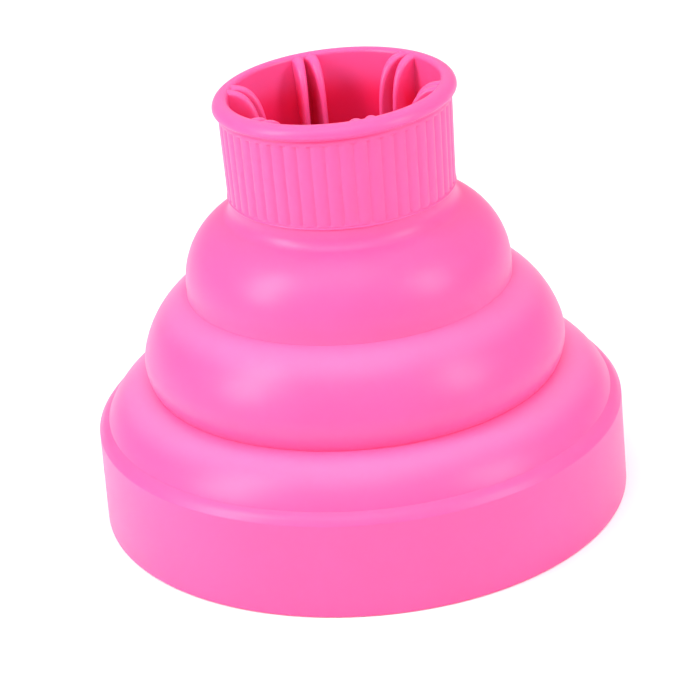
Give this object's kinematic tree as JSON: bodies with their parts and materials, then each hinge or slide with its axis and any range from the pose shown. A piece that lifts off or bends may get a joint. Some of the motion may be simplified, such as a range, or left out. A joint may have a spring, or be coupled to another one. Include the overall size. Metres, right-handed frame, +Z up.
{
  "type": "hair dryer diffuser",
  "caption": "Collapsible round diffuser hood with a stepped bellows, a ribbed collar that grips a dryer nozzle with sprung fins, and a perforated front plate with comb fingers.",
  "frame": {"origin": "centre of the mouth plane, on which the hood stands", "axes": "+Z up the hood's axis, out through the collar; the bellows folds along -Z"},
  "size_m": [0.145, 0.145, 0.1191],
  "materials": {
    "silicone": "satin moulded silicone, bright pink",
    "front_plate": "fine matt moulded polypropylene, pink"
  },
  "bodies": {
    "base": {"skirt": "silicone", "shoulder_membrane": "silicone", "front_plate": "front_plate", "comb_fingers_inner": "front_plate", "comb_fingers_outer": "front_plate"},
    "lower_ring": {"lower_ring": "silicone", "middle_membrane": "silicone"},
    "upper_ring": {"upper_ring": "silicone", "upper_membrane": "silicone"},
    "collar": {"collar": "silicone"},
    "grip_fin_01": {"grip_fin_01": "silicone"},
    "grip_fin_02": {"grip_fin_02": "silicone"},
    "grip_fin_03": {"grip_fin_03": "silicone"},
    "grip_fin_04": {"grip_fin_04": "silicone"},
    "grip_fin_05": {"grip_fin_05": "silicone"},
    "grip_fin_06": {"grip_fin_06": "silicone"},
    "grip_fin_07": {"grip_fin_07": "silicone"},
    "grip_fin_08": {"grip_fin_08": "silicone"},
    "grip_fin_09": {"grip_fin_09": "silicone"},
    "grip_fin_10": {"grip_fin_10": "silicone"},
    "grip_fin_11": {"grip_fin_11": "silicone"},
    "grip_fin_12": {"grip_fin_12": "silicone"}
  },
  "joints": [
    {"name": "fold_lower", "type": "slide", "parent": "base", "child": "lower_ring", "axis": [0, 0, -1], "range_m": [0, 0.014], "deforming": ["shoulder_membrane"]},
    {"name": "fold_middle", "type": "slide", "parent": "lower_ring", "child": "upper_ring", "axis": [0, 0, -1], "range_m": [0, 0.022], "deforming": ["middle_membrane"]},
    {"name": "fold_upper", "type": "slide", "parent": "upper_ring", "child": "collar", "axis": [0, 0, -1], "range_m": [0, 0.024], "deforming": ["upper_membrane"]},
    {"name": "fin_flex_01", "type": "hinge", "parent": "collar", "child": "grip_fin_01", "pos_m": [0.0206, 0.01791, 0.104], "axis": [0, 0, 1], "range_deg": [0, 70], "stiffness_Nm_per_rad": 0.003},
    {"name": "fin_flex_02", "type": "hinge", "parent": "collar", "child": "grip_fin_02", "pos_m": [0.01791, 0.0206, 0.104], "axis": [0, 0, -1], "range_deg": [0, 70], "stiffness_Nm_per_rad": 0.003},
    {"name": "fin_flex_03", "type": "hinge", "parent": "collar", "child": "grip_fin_03", "pos_m": [-0.00521, 0.0268, 0.104], "axis": [0, 0, 1], "range_deg": [0, 70], "stiffness_Nm_per_rad": 0.003},
    {"name": "fin_flex_04", "type": "hinge", "parent": "collar", "child": "grip_fin_04", "pos_m": [-0.00888, 0.02581, 0.104], "axis": [0, 0, -1], "range_deg": [0, 70], "stiffness_Nm_per_rad": 0.003},
    {"name": "fin_flex_05", "type": "hinge", "parent": "collar", "child": "grip_fin_05", "pos_m": [-0.02581, 0.00888, 0.104], "axis": [0, 0, 1], "range_deg": [0, 70], "stiffness_Nm_per_rad": 0.003},
    {"name": "fin_flex_06", "type": "hinge", "parent": "collar", "child": "grip_fin_06", "pos_m": [-0.0268, 0.00521, 0.104], "axis": [0, 0, -1], "range_deg": [0, 70], "stiffness_Nm_per_rad": 0.003},
    {"name": "fin_flex_07", "type": "hinge", "parent": "collar", "child": "grip_fin_07", "pos_m": [-0.0206, -0.01791, 0.104], "axis": [0, 0, 1], "range_deg": [0, 70], "stiffness_Nm_per_rad": 0.003},
    {"name": "fin_flex_08", "type": "hinge", "parent": "collar", "child": "grip_fin_08", "pos_m": [-0.01791, -0.0206, 0.104], "axis": [0, 0, -1], "range_deg": [0, 70], "stiffness_Nm_per_rad": 0.003},
    {"name": "fin_flex_09", "type": "hinge", "parent": "collar", "child": "grip_fin_09", "pos_m": [0.00521, -0.0268, 0.104], "axis": [0, 0, 1], "range_deg": [0, 70], "stiffness_Nm_per_rad": 0.003},
    {"name": "fin_flex_10", "type": "hinge", "parent": "collar", "child": "grip_fin_10", "pos_m": [0.00888, -0.02581, 0.104], "axis": [0, 0, -1], "range_deg": [0, 70], "stiffness_Nm_per_rad": 0.003},
    {"name": "fin_flex_11", "type": "hinge", "parent": "collar", "child": "grip_fin_11", "pos_m": [0.02581, -0.00888, 0.104], "axis": [0, 0, 1], "range_deg": [0, 70], "stiffness_Nm_per_rad": 0.003},
    {"name": "fin_flex_12", "type": "hinge", "parent": "collar", "child": "grip_fin_12", "pos_m": [0.0268, -0.00521, 0.104], "axis": [0, 0, -1], "range_deg": [0, 70], "stiffness_Nm_per_rad": 0.003}
  ],
  "couplings": [
    {"joint": "fin_flex_02", "follows": "fin_flex_01", "ratio": 1},
    {"joint": "fin_flex_03", "follows": "fin_flex_01", "ratio": 1},
    {"joint": "fin_flex_04", "follows": "fin_flex_01", "ratio": 1},
    {"joint": "fin_flex_05", "follows": "fin_flex_01", "ratio": 1},
    {"joint": "fin_flex_06", "follows": "fin_flex_01", "ratio": 1},
    {"joint": "fin_flex_07", "follows": "fin_flex_01", "ratio": 1},
    {"joint": "fin_flex_08", "follows": "fin_flex_01", "ratio": 1},
    {"joint": "fin_flex_09", "follows": "fin_flex_01", "ratio": 1},
    {"joint": "fin_flex_10", "follows": "fin_flex_01", "ratio": 1},
    {"joint": "fin_flex_11", "follows": "fin_flex_01", "ratio": 1},
    {"joint": "fin_flex_12", "follows": "fin_flex_01", "ratio": 1}
  ]
}
